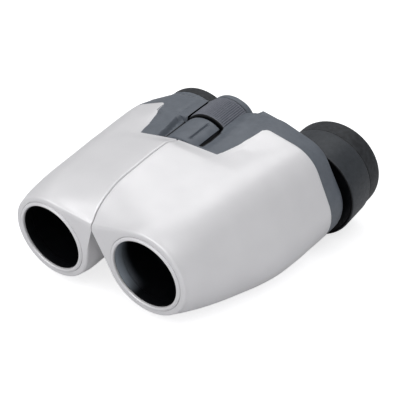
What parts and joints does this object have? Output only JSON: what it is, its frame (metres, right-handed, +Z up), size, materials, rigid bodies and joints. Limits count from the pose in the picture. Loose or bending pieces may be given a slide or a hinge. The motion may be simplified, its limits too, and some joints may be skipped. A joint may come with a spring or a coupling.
{
  "type": "binoculars",
  "caption": "Compact reverse-Porro zoom binoculars with folding halves, a ribbed centre focus wheel and linked zoom rings.",
  "frame": {"origin": "centre of the footprint, on the surface that the binoculars rest on", "axes": "+Z up from that surface, +Y from the objectives back to the eyepieces and +X to the user's left; the optical axes rise 8.337 degrees towards the eyepieces"},
  "size_m": [0.115, 0.1238, 0.0575],
  "materials": {
    "silver_plastic": "pearl silver, satin gloss",
    "grey_plastic": "moulded, fine texture",
    "black_plastic": "moulded, dull",
    "rubber": "soft, mottled",
    "wheel_rubber": "ribbed",
    "glass": "polished, blue coating",
    "steel": "turned",
    "brass": "turned",
    "alloy": "die cast"
  },
  "bodies": {
    "right_half": {"right_front_shell": "silver_plastic", "right_rear_housing": "grey_plastic", "right_objective_ring": "silver_plastic", "right_objective_tube": "black_plastic", "right_prism_plate": "alloy", "right_front_prism": "glass", "right_rear_prism": "glass", "right_prism_screw_1": "steel", "right_prism_screw_2": "steel", "right_eyepiece_tube": "black_plastic", "right_front_knuckle": "alloy", "right_rear_knuckle": "grey_plastic", "right_knuckle_screw_1": "steel", "right_knuckle_screw_2": "steel", "hinge_tube": "steel", "centre_cover": "grey_plastic"},
    "left_half": {"left_front_shell": "silver_plastic", "left_rear_housing": "grey_plastic", "left_objective_ring": "silver_plastic", "left_objective_tube": "black_plastic", "left_prism_plate": "alloy", "left_front_prism": "glass", "left_rear_prism": "glass", "left_prism_screw_1": "steel", "left_prism_screw_2": "steel", "left_eyepiece_tube": "black_plastic", "left_front_knuckle": "alloy", "left_rear_knuckle": "grey_plastic", "left_knuckle_screw_1": "steel", "left_knuckle_screw_2": "steel", "left_eye_lens": "glass", "left_eyecup": "rubber"},
    "focus_wheel": {"focus_wheel": "wheel_rubber", "wheel_hub": "black_plastic", "focus_spindle": "steel", "spindle_cap": "steel"},
    "right_objective": {"right_objective_cell": "black_plastic", "right_objective_lens": "glass", "right_focus_arm": "alloy", "focus_nut": "brass"},
    "left_objective": {"left_objective_cell": "black_plastic", "left_objective_lens": "glass", "left_focus_arm": "alloy"},
    "right_zoom_ring": {"right_zoom_ring": "grey_plastic", "zoom_lever": "grey_plastic"},
    "left_zoom_ring": {"left_zoom_ring": "grey_plastic"},
    "right_zoom_group": {"right_zoom_carrier": "black_plastic", "right_zoom_lens": "glass"},
    "left_zoom_group": {"left_zoom_carrier": "black_plastic", "left_zoom_lens": "glass"},
    "dioptre": {"dioptre_ring": "grey_plastic", "right_eyecup": "rubber"},
    "right_ocular": {"right_eye_lens": "glass"}
  },
  "joints": [
    {"name": "fold", "type": "hinge", "parent": "right_half", "child": "left_half", "pos_m": [0, -0.00198, 0.04119], "axis": [0, 0.9894, 0.145], "range_deg": [0, 31]},
    {"name": "focus_turn", "type": "hinge", "parent": "right_half", "child": "focus_wheel", "pos_m": [0, -0.00198, 0.04119], "axis": [0, 0.9894, 0.145], "range_deg": [-90, 450]},
    {"name": "right_objective_slide", "type": "slide", "parent": "right_half", "child": "right_objective", "axis": [0, -0.9894, -0.145], "range_m": [-0.001, 0.005]},
    {"name": "left_objective_slide", "type": "slide", "parent": "left_half", "child": "left_objective", "axis": [0, -0.9894, -0.145], "range_m": [-0.001, 0.005]},
    {"name": "zoom_turn", "type": "hinge", "parent": "right_half", "child": "right_zoom_ring", "pos_m": [-0.036, 0.04122, 0.02226], "axis": [0, -0.9894, -0.145], "range_deg": [0, 90]},
    {"name": "left_zoom_turn", "type": "hinge", "parent": "left_half", "child": "left_zoom_ring", "pos_m": [0.036, 0.04122, 0.02226], "axis": [0, -0.9894, -0.145], "range_deg": [0, 90]},
    {"name": "right_zoom_slide", "type": "slide", "parent": "right_half", "child": "right_zoom_group", "axis": [0, 0.9894, 0.145], "range_m": [0, 0.008]},
    {"name": "left_zoom_slide", "type": "slide", "parent": "left_half", "child": "left_zoom_group", "axis": [0, 0.9894, 0.145], "range_m": [0, 0.008]},
    {"name": "dioptre_turn", "type": "hinge", "parent": "right_half", "child": "dioptre", "pos_m": [-0.036, 0.05112, 0.02371], "axis": [0, 0.9894, 0.145], "range_deg": [-45, 45]},
    {"name": "right_ocular_slide", "type": "slide", "parent": "right_half", "child": "right_ocular", "axis": [0, 0.9894, 0.145], "range_m": [-0.0012, 0.0012]}
  ],
  "couplings": [
    {"joint": "right_objective_slide", "follows": "focus_turn", "m_per_rad": 0.00063661},
    {"joint": "left_objective_slide", "follows": "focus_turn", "m_per_rad": 0.00063661},
    {"joint": "left_zoom_turn", "follows": "zoom_turn", "ratio": 1},
    {"joint": "right_zoom_slide", "follows": "zoom_turn", "m_per_rad": 0.0050929},
    {"joint": "left_zoom_slide", "follows": "zoom_turn", "m_per_rad": 0.0050929},
    {"joint": "right_ocular_slide", "follows": "dioptre_turn", "m_per_rad": 0.0015278}
  ]
}
